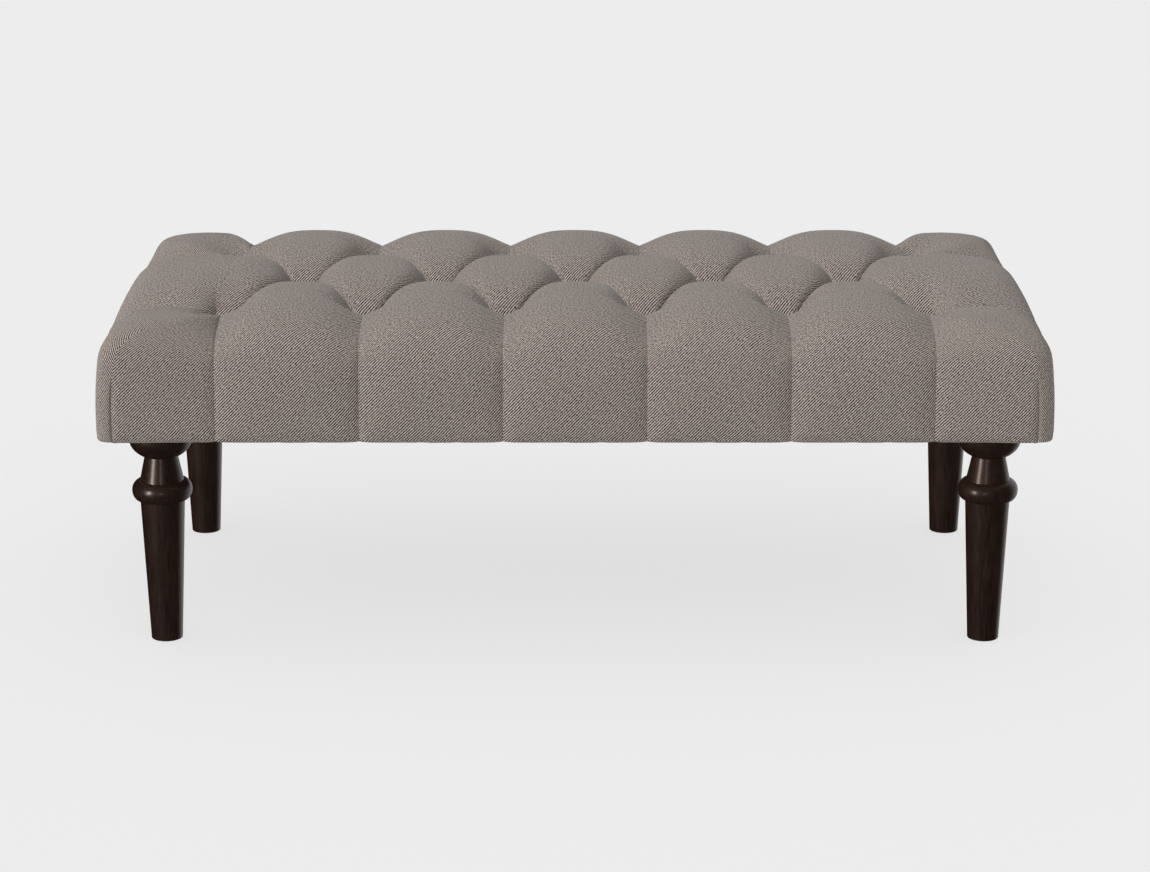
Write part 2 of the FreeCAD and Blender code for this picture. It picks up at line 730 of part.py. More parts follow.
button_foot = RAIL_TOP - BUTTON_THICKNESS
buttons = []
loops = []
loop_foot = button_foot - STITCH / 2
loop_top = TUFT_HEIGHT + STITCH / 2
for tuft in tufts:
    button = Part.makeCylinder(BUTTON_DIAMETER / 2, BUTTON_THICKNESS, Vector(tuft.x, tuft.y, button_foot))
    buttons.append(button)
    pieces = []
    for height in (loop_foot, loop_top):
        start = Vector(tuft.x - STITCH_LENGTH / 2, tuft.y, height)
        pieces.append(Part.makeCylinder(STITCH / 2, STITCH_LENGTH, start, Vector(1, 0, 0)))
    for side in (-TWINE_SPREAD / 2, TWINE_SPREAD / 2):
        start = Vector(tuft.x + side, tuft.y, loop_foot)
        pieces.append(Part.makeCylinder(TWINE / 2, loop_top - loop_foot, start))
    loops.append(pieces[0].multiFuse(pieces[1:]))
button_holes = upright_holes(strands, TWINE + HOLE_GAP, button_foot - RUNOUT, RAIL_TOP + RUNOUT)
save("back_buttons", Part.Compound(buttons).cut(button_holes))
save("tufting_twine", Part.Compound(loops))


# Dust cover under the frame

dust_x = HALF_LENGTH - DUST_COVER_MARGIN
dust_y = HALF_DEPTH - DUST_COVER_MARGIN
dust = box(-dust_x, dust_x, -dust_y, dust_y, LEG_HEIGHT, UNDERSIDE)
bolt_points = [Vector(x * LEG_X, y * LEG_Y, 0) for x, y in corners.values()]
bolt_hole = BOLT_DIAMETER + 2 * BOLT_ROOM
dust = dust.cut(upright_holes(bolt_points, bolt_hole, LEG_HEIGHT - RUNOUT, UNDERSIDE + RUNOUT))
save("dust_cover", dust)


# Turned legs: rim, cup, neck, bead and tapered shank in one revolved outline

def on_leg(radius, height):
    return Vector(radius, 0, height)


def oval_quarter(start, corner, finish):
    curve = Part.BezierCurve()
    curve.setPoles([start, corner, finish])
    curve.setWeight(2, math.sqrt(0.5))
    return curve.toShape()


def turned_leg():
    foot = GLIDE_PROUD
    rim = LEG_HEIGHT - CUP_RIM_HEIGHT
    cup_angle = -math.acos(CUP_FOOT_RADIUS / CUP_RADIUS)
    cup_foot = rim + CUP_BOWL_HEIGHT * math.sin(cup_angle)
    neck_foot = cup_foot - NECK_LENGTH
    bead_foot = neck_foot - BEAD_HEIGHT
    bead_middle = (neck_foot + bead_foot) / 2
    lip = SHANK_TOP_RADIUS + BEAD_LIP
    oval = Part.Ellipse(on_leg(0, rim), CUP_RADIUS, CUP_BOWL_HEIGHT)
    oval.Axis = Vector(0, -1, 0)
    oval.XAxis = Vector(1, 0, 0)
    outline = [
        Part.makeLine(on_leg(0, foot), on_leg(FOOT_RADIUS - FOOT_EDGE, foot)),
        oval_quarter(
            on_leg(FOOT_RADIUS - FOOT_EDGE, foot),
            on_leg(FOOT_RADIUS, foot),
            on_leg(FOOT_RADIUS, foot + FOOT_EDGE)),
        Part.makeLine(on_leg(FOOT_RADIUS, foot + FOOT_EDGE), on_leg(SHANK_TOP_RADIUS, bead_foot)),
        Part.makeLine(on_leg(SHANK_TOP_RADIUS, bead_foot), on_leg(lip, bead_foot)),
        oval_quarter(
            on_leg(lip, bead_foot),
            on_leg(BEAD_RADIUS, bead_foot),
            on_leg(BEAD_RADIUS, bead_middle)),
        oval_quarter(
            on_leg(BEAD_RADIUS, bead_middle),
            on_leg(BEAD_RADIUS, neck_foot),
            on_leg(NECK_FOOT_RADIUS, neck_foot)),
        Part.makeLine(on_leg(NECK_FOOT_RADIUS, neck_foot), on_leg(NECK_TOP_RADIUS, cup_foot)),
        Part.makeLine(on_leg(NECK_TOP_RADIUS, cup_foot), on_leg(CUP_FOOT_RADIUS, cup_foot)),
        Part.ArcOfEllipse(oval, cup_angle, 0).toShape(),
        Part.makeLine(on_leg(CUP_RADIUS, rim), on_leg(CUP_RADIUS, LEG_HEIGHT - RIM_EDGE)),
        Part.makeLine(
            on_leg(CUP_RADIUS, LEG_HEIGHT - RIM_EDGE),
            on_leg(CUP_RADIUS - RIM_EDGE, LEG_HEIGHT)),
        Part.makeLine(on_leg(CUP_RADIUS - RIM_EDGE, LEG_HEIGHT), on_leg(0, LEG_HEIGHT)),
        Part.makeLine(on_leg(0, LEG_HEIGHT), on_leg(0, foot)),
    ]
    wire = Part.Wire(Part.__sortEdges__(outline))
    leg = Part.Face(wire).revolve(Vector(0, 0, 0), Vector(0, 0, 1), 360)
    bore_foot = on_leg(0, bolt_foot - RUNOUT)
    bore = Part.makeCylinder((BOLT_DIAMETER + HOLE_GAP) / 2, BOLT_IN_LEG + RUNOUT, bore_foot)
    recess = Part.makeCylinder((GLIDE_DIAMETER + HOLE_GAP) / 2, GLIDE_THICKNESS, on_leg(0, 0))
    return leg.cut(bore).cut(recess)


leg_model = turned_leg()
glides = []
for corner, (sign_x, sign_y) in corners.items():
    spot = Vector(sign_x * LEG_X, sign_y * LEG_Y, 0)
    save("leg_" + corner, leg_model.translated(spot))
    glide = Part.makeCylinder(GLIDE_DIAMETER / 2, GLIDE_THICKNESS, spot)
    lower = [e for e in glide.Edges if max(v.Z for v in e.Vertexes) < 0.01]
    glides.append(glide.makeFillet(GLIDE_EDGE, lower))
save("floor_glides", Part.Compound(glides))
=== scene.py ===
import math
import bpy
import numpy as np
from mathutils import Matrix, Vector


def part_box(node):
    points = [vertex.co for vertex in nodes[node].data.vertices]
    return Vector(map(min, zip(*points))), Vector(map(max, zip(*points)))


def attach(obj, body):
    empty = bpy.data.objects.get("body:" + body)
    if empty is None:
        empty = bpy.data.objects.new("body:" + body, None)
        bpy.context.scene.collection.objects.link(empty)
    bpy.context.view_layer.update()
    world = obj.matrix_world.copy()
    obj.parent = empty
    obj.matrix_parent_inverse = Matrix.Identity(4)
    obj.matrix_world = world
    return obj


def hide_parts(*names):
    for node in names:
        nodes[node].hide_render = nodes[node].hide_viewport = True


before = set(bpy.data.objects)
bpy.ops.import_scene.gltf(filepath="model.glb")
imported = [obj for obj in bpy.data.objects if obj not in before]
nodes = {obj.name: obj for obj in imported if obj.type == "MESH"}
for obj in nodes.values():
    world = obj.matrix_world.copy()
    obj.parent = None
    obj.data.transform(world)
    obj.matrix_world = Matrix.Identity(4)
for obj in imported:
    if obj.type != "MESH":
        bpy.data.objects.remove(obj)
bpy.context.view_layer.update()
mm = 0.001
print("frame loaded:", len(nodes), "nodes")


# Small helpers

def linear(hexColour):
    parts = [int(hexColour[i:i + 2], 16) / 255 for i in (1, 3, 5)]
    return [p / 12.92 if p <= 0.04045 else ((p + 0.055) / 1.055) ** 2.4 for p in parts] + [1.0]


def plug(tree, node, inputs):
    # links the sockets it is given and sets the rest as plain values
    for name, value in inputs.items():
        if isinstance(value, bpy.types.NodeSocket):
            tree.links.new(value, node.inputs[name])
        else:
            node.inputs[name].default_value = value


def addNode(tree, kind, inputs=None, stops=(), **settings):
    # stops are the places and colours along a colour ramp
    node = tree.nodes.new("ShaderNode" + kind)
    for name, value in settings.items():
        setattr(node, name, value)
    for k, (place, hexColour) in enumerate(stops):
        node.color_ramp.elements[k].position = place
        node.color_ramp.elements[k].color = linear(hexColour)
    plug(tree, node, inputs or {})
    return node


def perMetre(size):
    # repeats in a metre of a pattern this many millimetres across
    return 1000 / size


def newMaterial(name):
    material = bpy.data.materials.new(name)
    material.use_nodes = True
    tree = material.node_tree
    return material, tree, tree.nodes["Principled BSDF"]


def selectOnly(piece):
    bpy.ops.object.select_all(action="DESELECT")
    piece.select_set(True)
    bpy.context.view_layer.objects.active = piece


def dress(piece, material):
    piece.data.materials.clear()
    piece.data.materials.append(material)


# The tufted form, in millimetres: the same rows and lines as the solid, drawn fuller between the pleats

cushion = {
    "length": 1220, "depth": 640, "underside": 285.4, "top": 449.1,
    "outerTufts": 6, "endMargin": 152.5, "sideMargin": 158,
    "tuftDrop": 43.5, "seat": 10, "nose": 12,
    "pleatDrop": 18, "pleatEntry": 0.8, "entryRise": 15,
    "crestSag": 6.5, "crestTurn": 0.62,
    "edgeRound": 3.5, "shoulderDrop": 59.5, "shoulderRise": 6, "hem": 42,
    # side profiles: setbacks up the wall and over the shoulder; "full" is how square a panel is across
    "crest": {"low": 2, "belly": -2, "lean": 7, "shoulder": 17, "reach": 70, "drop": 7.3,
              "full": {"side": (3.2, 1), "over": (3, 1.6), "crown": (4.2, 1.2), "tip": (5, 1)}},
    "pleat": {"low": 6, "belly": 9, "lean": 16, "shoulder": 24, "reach": 80, "drop": 27.5},
    "endCrest": {"low": 2, "belly": -2, "lean": 1.8, "shoulder": 4, "reach": 67, "drop": 4,
                 "full": {"side": (3.2, 1), "over": (3, 1.4), "crown": (2.8, 1), "tip": (5, 1)}},
    "endPleat": {"low": 6, "belly": 6, "lean": 0, "shoulder": 5.5, "reach": 80, "drop": 27.5},
    "corner": {"low": 1.5, "belly": 0, "lean": 5, "shoulder": 8, "reach": 60, "drop": 13},
    "cornerRound": 20, "cornerDome": 13, "cornerFullness": 0.5, "cornerGather": 0.4,
    "diamondFull": (4.8, 1),
    "grooveDepth": 2.6, "grooveWidth": 1.9,
    # the sewn seam beside each corner, wider in the wadding under it
    "seamDepth": 4, "seamWidth": 1.3, "seamSpread": 3, "seamTop": 368, "seamFade": 12, "seamPin": 0.5,
}
halfLength = cushion["length"] / 2
halfDepth = cushion["depth"] / 2
pitch = (cushion["length"] - 2 * cushion["endMargin"]) / (cushion["outerTufts"] - 1)
rowPitch = halfDepth - cushion["sideMargin"]
outerX = [(i - (cushion["outerTufts"] - 1) / 2) * pitch for i in range(cushion["outerTufts"])]
innerX = [(a + b) / 2 for a, b in zip(outerX, outerX[1:])]
shoulderHeight = cushion["top"] - cushion["shoulderDrop"]
bellyHeight = (cushion["underside"] + cushion["edgeRound"] + shoulderHeight) / 2

# mesh rows from the hem to the inner tufts, and columns that crowd beside the pleats
coverGrid = {"rows": [3, 4, 11, 10, 11, 2, 10, 10], "columns": 14, "gap": 7.0, "turn": 10}
waddingGrid = {"rows": [2, 2, 5, 4, 5, 1, 5, 5], "columns": 6, "gap": 18.0, "turn": 4}
crowding = {"panel": 1.8, "flap": 0.9, "turn": 0.85, "seatRows": 4}


def quadraticRun(poles, counts):
    # points along joined quadratic spans that share their end poles
    poles = np.array(poles, float)
    runs = []
    for k, count in enumerate(counts):
        t = np.linspace(0, 1, count + 1)[1 if k else 0:, None]
        a, b, c = poles[2 * k:2 * k + 3]
        runs.append((1 - t) ** 2 * a + 2 * t * (1 - t) * b + t ** 2 * c)
    return np.concatenate(runs)


def sideProfile(shape, inset):
    # setback and height from the hem under the frame, up the side and over the shoulder
    foot = cushion["underside"] + inset
    top = cushion["top"] - shape["drop"]
    start = shape["low"] + cushion["edgeRound"]
    return [
        (cushion["hem"], foot),
        ((cushion["hem"] + start) / 2, foot),
        (start, foot),
        (shape["low"] + inset, foot),
        (shape["low"] + inset, cushion["underside"] + cushion["edgeRound"]),
        (shape["belly"] + inset, bellyHeight),
        (shape["lean"] + inset, shoulderHeight),
        (shape["shoulder"] + inset, top - cushion["shoulderRise"] - inset),
        (shape["reach"], top - inset),
    ]


# how far a pleat is tucked in at each row of the side profile, as shares of the groove's depth
sideTuck = [(0, 0), (0, 0), (0, 0.3), (0.6, 0.6), (1, 0.1), (1, 0), (0.9, 0), (0.5, -0.3), (0.1, -0.5)]
topTuck = [(0, -0.5), (0, 0), (0, 0), (0, 0), (0, -0.9), (0, -0.9), (0, -0.9), (0, 0)]


# how much cloth lies across and along each row: less than the surface where a tuft draws it out
tuftDraw = [(1, 0.62), (1, 0.62), (1, 0.8), (1, 1)]
sideDraw = [(1, 1)] * 13 + tuftDraw[::-1]
endDraw = [(1, 1)] * 7 + [(0.85, 1)] + [(0.7, 1)] * 9


def pleatEntry(shape, tuftIn, inset):
    run = tuftIn - cushion["nose"] - shape["reach"]
    height = cushion["top"] - shape["drop"] + cushion["entryRise"] - inset
    return shape["reach"] + cushion["pleatEntry"] * run, height


def diagonalPleat(outer, inner, inset):
    level = cushion["top"] - cushion["pleatDrop"] - inset
    outer, inner = np.array(outer, float), np.array(inner, float)
    steps = [outer + (inner - outer) * k / 4 for k in range(5)]
    for step in steps[1:4]:
        step[2] = level
    return steps


def arcLength(points, axis):
    steps = np.linalg.norm(np.diff(points, axis=axis), axis=-1)
    pad = [(0, 0)] * steps.ndim
    pad[axis] = (1, 0)
    return np.cumsum(np.pad(steps, pad), axis=axis)


def acrossPleats(half, grid):
    # positions across a panel from -1 to 1, close together beside the pleats
    count = max(grid["columns"], round(half / grid["gap"]))
    near = np.linspace(0, 1, count + 1) ** crowding["panel"]
    return np.concatenate([near - 1, (1 - near)[::-1][1:]])


def easedSteps(count, share):
    # positions from 0 to 1 that crowd toward both ends
    steps = np.linspace(0, 1, count)
    return steps - np.sin(2 * np.pi * steps) / (2 * np.pi) * share


def wallShare(lastRow, easeRows):
    # 1 down the wall, easing to 0 over the shoulder and the top as far as the tuft
    share = np.clip((lastRow - np.arange(lastRow + 1)) / easeRows, 0, 1)
    return (share * share * (3 - 2 * share))[:, None]


def panelBetween(pleat, crest, tuck, fullness, drawn, counts, half, grid):
    # local coordinates are along, setback and height; the panel is even about its crest
    pleatLine, crestLine = quadraticRun(pleat, counts), quadraticRun(crest, counts)
    tuckLine = quadraticRun(tuck, counts) * cushion["grooveDepth"]
    fullLine = quadraticRun(fullness, counts)
    across = acrossPleats(half, grid)[None, :]
    width = -pleatLine[:, :1]
    lift = (1 - np.abs(across) ** fullLine[:, :1]) ** fullLine[:, 1:]
    groove = np.exp(-(1 - np.abs(across)) * width / cushion["grooveWidth"])
    points = np.stack([
        width * across,
        pleatLine[:, 1:2] + (crestLine[:, 1:2] - pleatLine[:, 1:2]) * lift + tuckLine[:, :1] * groove,
        pleatLine[:, 2:3] + (crestLine[:, 2:3] - pleatLine[:, 2:3]) * lift + tuckLine[:, 1:2] * groove,
    ], axis=-1)
    # the cloth unrolled: its length across the panel, and up the crest
    drawLine = quadraticRun(drawn, counts)
    around = arcLength(points, 1)
    around = (around - around[:, around.shape[1] // 2][:, None]) * drawLine[:, :1]
    share = (drawLine[1:, 1] + drawLine[:-1, 1]) / 2
    climb = np.concatenate([[0], np.cumsum(np.diff(arcLength(crestLine, 0)) * share)])
    flat = np.stack([around, climb[:, None] + 0 * around, 0 * around], axis=-1)
    pinned = np.isclose(np.abs(across), 1) + 0 * around
    return points, flat, pinned


def halfway(a, b):
    return tuple((p + q) / 2 for p, q in zip(a, b))


def sidePanel(half, tuftIn, innerIn, crestShape, pleatShape, drawn, inset, grid):
    seat, top = cushion["top"] - cushion["tuftDrop"] - inset, cushion["top"] - inset
    pleat = [(-half, a, b) for a, b in sideProfile(pleatShape, inset)]
    crest = [(0, a, b) for a, b in sideProfile(crestShape, inset)]
    nose, heel = tuftIn - cushion["nose"], tuftIn + cushion["seat"]
    point = innerIn - cushion["seat"]
    middle = (heel + point) / 2
    turn = middle + cushion["crestTurn"] * (point - middle)
    fall = cushion["crestSag"] * (1 + 2 * cushion["crestTurn"])
    heelPoint = (-half + cushion["seat"], heel, seat)
    pleat.append((-half, *pleatEntry(pleatShape, tuftIn, inset)))
    pleat.append((-half, nose, seat))
    pleat.append((-half + cushion["seat"] / 2, (nose + heel) / 2, seat))
    pleat += diagonalPleat(heelPoint, (-cushion["seat"], point, seat), inset)
    crest += [
        (0, (crestShape["reach"] + nose) / 2, top),
        (0, nose, top),
        (0, (nose + heel) / 2, top),
        (0, heel, top),
        (0, (heel + middle) / 2, top),
        (0, middle, top - cushion["crestSag"]),
        (0, turn, top - fall),
        (0, point, seat),
    ]
    side, over, crown, tip = (crestShape["full"][row] for row in ("side", "over", "crown", "tip"))
    fullness = [side] * 6 + [halfway(side, over)] + [over] * 4 + [halfway(over, crown)]
    fullness += [crown] * 2 + [halfway(crown, tip)] + [tip] * 2
    return panelBetween(pleat, crest, sideTuck + topTuck, fullness, drawn, grid["rows"], half, grid)


def diamondPanel(inset, grid):
    seat, top = cushion["top"] - cushion["tuftDrop"] - inset, cushion["top"] - inset
    heel = rowPitch - cushion["seat"]
    middle = (heel + cushion["seat"]) / 2
    turn = middle + cushion["crestTurn"] * (heel - middle)
    fall = cushion["crestSag"] * (1 + 2 * cushion["crestTurn"])
    reach = pitch / 2 - cushion["seat"]
    front = diagonalPleat((-cushion["seat"], -heel, seat), (-reach, -cushion["seat"], seat), inset)
    pleat = front + [np.array((-reach, 0, seat))] + [p * (1, -1, 1) for p in front[::-1]]
    rise = [
        (0, -heel, seat),
        (0, -turn, top - fall),
        (0, -middle, top - cushion["crestSag"]),
        (0, -(middle + cushion["seat"]) / 2, top),
        (0, -cushion["seat"], top),
    ]
    crest = rise + [(0, 0, top)] + [(0, -y, z) for _, y, z in rise[::-1]]
    tuck = topTuck[3:] + [(0, 0)] + topTuck[3:][::-1]
    fullness = [cushion["diamondFull"]] * 11
    counts = grid["rows"][6:] + [crowding["seatRows"]] + grid["rows"][6:]
    drawn = tuftDraw + [(1, 1)] * 3 + tuftDraw[::-1]
    return panelBetween(pleat, crest, tuck, fullness, drawn, counts, pitch / 2, grid)


def cornerLines(marginB, marginA, shapeA, shapeB, inset, counts):
    # seven lines up a corner, from A's pleat round the turn to B's pleat
    seat = cushion["top"] - cushion["tuftDrop"] - inset
    nose = cushion["nose"]
    full = cushion["cornerFullness"]
    rows = []
    profiles = zip(*[sideProfile(shape, inset) for shape in (shapeA, cushion["corner"], shapeB)])
    for (inA, zA), (edgeIn, edgeZ), (inB, zB) in profiles:
        near = edgeIn + (cushion["cornerRound"] + edgeIn / 2)
        rows.append([
            (inA, marginB, zA),
            (edgeIn, near + full * (marginB - near), edgeZ),
            (edgeIn, near, edgeZ),
            (edgeIn, edgeIn, edgeZ),
            (near, edgeIn, edgeZ),
            (near + full * (marginA - near), edgeIn, edgeZ),
            (marginA, inB, zB),
        ])
    start = np.array((marginA - nose, marginB, seat))
    finish = np.array((marginA, marginB - nose, seat))
    last = [start + (finish - start) * k / 6 for k in range(7)]
    dome = (np.array(rows[-1]) + np.array(last)) / 2
    dome[:, 2] = cushion["top"] - cushion["cornerDome"] - inset
    entryA, entryB = pleatEntry(shapeA, marginA, inset), pleatEntry(shapeB, marginB, inset)
    dome[0] = (entryA[0], marginB, entryA[1])
    dome[6] = (marginA, entryB[0], entryB[1])
    columns = np.array(rows + [dome, last], float).transpose(1, 0, 2)
    return np.array([quadraticRun(column, counts) for column in columns])


def cornerPanels(marginB, marginA, shapeA, shapeB, seamLine, inset, grid):
    # local coordinates are the setbacks from side A and from side B, and height; A's pleat comes first
    # the two flaps of cloth meet at a seam, at the start or the end of the corner's turn
    counts = grid["rows"][:5]
    lines = cornerLines(marginB, marginA, shapeA, shapeB, inset, counts)
    flap = easedSteps(2 * grid["columns"], crowding["flap"])
    turn = easedSteps(2 * grid["turn"] + 1, crowding["turn"])
    turnStart = len(flap) - 1
    turnEnd = turnStart + len(turn) - 1
    across = []
    for span, steps in enumerate([flap, turn[1:], flap[1:]]):
        a, b, c = lines[2 * span:2 * span + 3]
        for t in steps:
            across.append((1 - t) ** 2 * a + 2 * t * (1 - t) * b + t ** 2 * c)
    points = np.array(across).transpose(1, 0, 2)

    # grooves at the two pleats and at the seam
    fromA = np.linalg.norm(points - lines[0][:, None], axis=-1)
    fromB = np.linalg.norm(points - lines[6][:, None], axis=-1)
    fromSeam = np.linalg.norm(points - lines[seamLine][:, None], axis=-1)
    tuck = quadraticRun(sideTuck + topTuck[:2], counts) * cushion["grooveDepth"]
    grooveA = np.exp(-fromA / cushion["grooveWidth"])
    grooveB = np.exp(-fromB / cushion["grooveWidth"])
    fade = np.clip((cushion["seamTop"] - lines[seamLine][:, 2]) / cushion["seamFade"], 0, 1)[:, None]
    seamWidth = cushion["seamWidth"] + cushion["seamSpread"] * inset
    seam = np.exp(-(fromSeam / seamWidth) ** 2) * fade * cushion["seamDepth"]
    points[..., 0] += tuck[:, :1] * grooveA + (seam if seamLine == 2 else 0)
    points[..., 1] += tuck[:, :1] * grooveB + (seam if seamLine == 4 else 0)
    points[..., 2] += tuck[:, 1:2] * np.maximum(grooveA, grooveB)

    # the cloth unrolled: down each wall, gathered a little round the turn, and flat over the top
    around = arcLength(points, 1)
    pastStart = around - around[:, [turnStart]]
    turnLength = np.ptp(around[:, turnStart:turnEnd + 1], axis=1)[:, None]
    around += cushion["cornerGather"] * np.clip(pastStart, 0, turnLength)
    climb = arcLength(lines[seamLine], 0)
    shoulderEnd = sum(counts[:4])
    down = (cushion["corner"]["reach"] + climb - climb[shoulderEnd])[:, None] + 0 * around
    share = wallShare(len(points) - 1, counts[3] + counts[4])
    wallA = np.stack([down, marginB - around], axis=-1)
    wallB = np.stack([marginA - around[:, -1:] + around, down], axis=-1)
    pinned = np.zeros_like(around)
    pinned[:, [0, -1]] = 1
    pinned[fromSeam < cushion["seamPin"]] = 1
    seamColumn = turnStart if seamLine == 2 else turnEnd
    panels = []
    for wall, part in ((wallA, slice(0, seamColumn + 1)), (wallB, slice(seamColumn, None))):
        flat = points * (1, 1, 0)
        flat[..., :2] += (wall - flat[..., :2]) * share[..., None]
        panels.append((points[:, part], flat[:, part], pinned[:, part]))
    return panels


def placeSide(points, side, centre):
    along, setback, height = points[..., 0] + centre, points[..., 1], points[..., 2]
    x, y = {
        "front": (along, setback - halfDepth),
        "right": (halfLength - setback, along),
        "rear": (-along, halfDepth - setback),
        "left": (setback - halfLength, -along),
    }[side]
    return np.stack([x, y, height], axis=-1)


def placeCorner(points, side):
    inA, inB, height = points[..., 0], points[..., 1], points[..., 2]
    x, y = {
        "front": (halfLength - inB, inA - halfDepth),
        "right": (halfLength - inA, halfDepth - inB),
        "rear": (inB - halfLength, halfDepth - inA),
        "left": (inA - halfLength, inB - halfDepth),
    }[side]
    return np.stack([x, y, height], axis=-1)


def tuftedPanels(inset, grid):
    panels = []
    sideMargin, endMargin = cushion["sideMargin"], cushion["endMargin"]
    longShapes = (cushion["crest"], cushion["pleat"])
    endShapes = (cushion["endCrest"], cushion["endPleat"])
    points, flat, pinned = sidePanel(
        pitch / 2, sideMargin, halfDepth, *longShapes, sideDraw, inset, grid)
    for side in ("front", "rear"):
        for x in innerX:
            panels.append((placeSide(points, side, x), placeSide(flat, side, x), pinned))
    points, flat, pinned = sidePanel(
        rowPitch, endMargin, halfLength - innerX[-1], *endShapes, endDraw, inset, grid)
    for side in ("right", "left"):
        panels.append((placeSide(points, side, 0), placeSide(flat, side, 0), pinned))
    for side in ("front", "right", "rear", "left"):
        margins = (endMargin, sideMargin)
        shapes = (cushion["pleat"], cushion["endPleat"])
        seamLine = 2
        if side in ("right", "left"):
            margins, shapes, seamLine = margins[::-1], shapes[::-1], 4
        for points, flat, pinned in cornerPanels(*margins, *shapes, seamLine, inset, grid):
            panels.append((placeCorner(points, side), placeCorner(flat, side), pinned))
    points, flat, pinned = diamondPanel(inset, grid)
    for x in outerX[1:-1]:
        panels.append((points + (x, 0, 0), flat + (x, 0, 0), pinned))
    return panels


# how the panels are sewn into one mesh, in millimetres and degrees
sewing = {"weld": 0.01, "hemLimit": 350, "smoothAngle": 38}


def sewPanels(name, panels):
    # joins the panels along their pleats and closes the flat tuft seats
    verts, faces, corners, pins = [], [], [], []
    for points, flat, pinned in panels:
        rows, columns = points.shape[:2]
        first = sum(len(part) for part in verts)
        index = np.arange(rows * columns).reshape(rows, columns) + first
        quads = np.stack([index[:-1, :-1], index[:-1, 1:], index[1:, 1:], index[1:, :-1]], axis=-1)
        verts.append(points.reshape(-1, 3) * mm)
        pins.append(pinned.ravel())
        cloth = flat[..., :2].reshape(-1, 2) * mm
        faces += quads.reshape(-1, 4).tolist()
        corners.append(cloth[quads.reshape(-1) - first])
    mesh = bpy.data.meshes.new(name)
    mesh.from_pydata(np.concatenate(verts).tolist(), [], faces)
    weave = mesh.uv_layers.new(name="weave")
    weave.data.foreach_set("uv", np.concatenate(corners).ravel())
    piece = bpy.data.objects.new(name, mesh)
    bpy.context.scene.collection.objects.link(piece)
    group = piece.vertex_groups.new(name="pinned")
    group.add(np.flatnonzero(np.concatenate(pins)).tolist(), 1.0, "REPLACE")
    selectOnly(piece)
    bpy.ops.object.mode_set(mode="EDIT")
    bpy.ops.mesh.select_all(action="SELECT")
    bpy.ops.mesh.remove_doubles(threshold=sewing["weld"] * mm)
    bpy.ops.mesh.select_all(action="DESELECT")
    bpy.ops.mesh.select_mode(type="EDGE")
    bpy.ops.mesh.select_non_manifold(extend=False, use_wire=False, use_multi_face=False, use_verts=False)
    bpy.ops.object.mode_set(mode="OBJECT")
    for edge in piece.data.edges:
        if edge.select and piece.data.vertices[edge.vertices[0]].co.z < sewing["hemLimit"] * mm:
            edge.select = False
    bpy.ops.object.mode_set(mode="EDIT")
    bpy.ops.mesh.edge_face_add()
    bpy.ops.object.mode_set(mode="OBJECT")
    return piece


# Cloth pass: the cover swells between its pinned pleats

swelling = {"pressure": 4.0, "frames": 14, "cap": 1.0, "quality": 4, "mass": 0.25}


def swell(piece):
    count = len(piece.data.vertices)
    start = np.empty(count * 3)
    piece.data.vertices.foreach_get("co", start)
    cloth = piece.modifiers.new("swell", "CLOTH")
    cloth.settings.quality = swelling["quality"]
    cloth.settings.mass = swelling["mass"]
    cloth.settings.use_pressure = True
    cloth.settings.uniform_pressure_force = swelling["pressure"]
    cloth.settings.vertex_group_mass = "pinned"
    cloth.settings.effector_weights.gravity = 0
    for step in range(1, swelling["frames"] + 1):
        bpy.context.scene.frame_set(step)
    swollen = piece.evaluated_get(bpy.context.evaluated_depsgraph_get())
    end = np.empty(count * 3)
    swollen.data.vertices.foreach_get("co", end)
    move = (end - start).reshape(-1, 3)
    reach = np.linalg.norm(move, axis=1, keepdims=True)
    move *= np.minimum(1, swelling["cap"] * mm / np.maximum(reach, 1e-9))
    piece.modifiers.remove(cloth)
    bpy.context.scene.frame_set(1)
    piece.data.vertices.foreach_set("co", start + move.ravel())
    piece.data.update()
    print("swell: greatest move", round(float(reach.max()) / mm, 2), "mm")


def giveThickness(piece, thickness):
    selectOnly(piece)
    wall = piece.modifiers.new("thickness", "SOLIDIFY")
    wall.thickness = thickness * mm
    wall.offset = -1
    bpy.ops.object.modifier_apply(modifier=wall.name)
    bpy.ops.object.shade_smooth_by_angle(angle=math.radians(sewing["smoothAngle"]))


# Fabric cover: one sewn cover, drawn down at the tufts and turned under the frame

coverCloth = {"thickness": 1.6, "fill": 0.8}
cover = sewPanels("cover", tuftedPanels(0.0, coverGrid))
swell(cover)
giveThickness(cover, coverCloth["thickness"])
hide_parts("fabric_cover")
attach(cover, "root")
print("cover:", len(cover.data.polygons), "faces")


# Fibre wadding: a loose layer that follows the cover from below

waddingLayer = {"inset": 2.4, "thickness": 7.0, "fill": 0.5}
wadding = sewPanels("wadding", tuftedPanels(waddingLayer["inset"], waddingGrid))
giveThickness(wadding, waddingLayer["thickness"])
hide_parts("fibre_wadding")
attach(wadding, "root")
print("wadding:", len(wadding.data.polygons), "faces")


# Dust cover: black cloth stapled under the frame, with a slight sag between the rails

dustCloth = {"width": 1160, "depth": 580, "level": 285.4, "thickness": 0.8, "sag": 2.6, "cell": 10}


def bayRise(values, edges):
    # 0 over a rail, rising to 1 in the middle of each open bay
    rise = np.zeros_like(values)
    for start, end in zip(edges[::2], edges[1::2]):
        inside = (values > start) & (values < end)
        rise[inside] = np.sin(np.pi * (values[inside] - start) / (end - start)) ** 2
    return rise


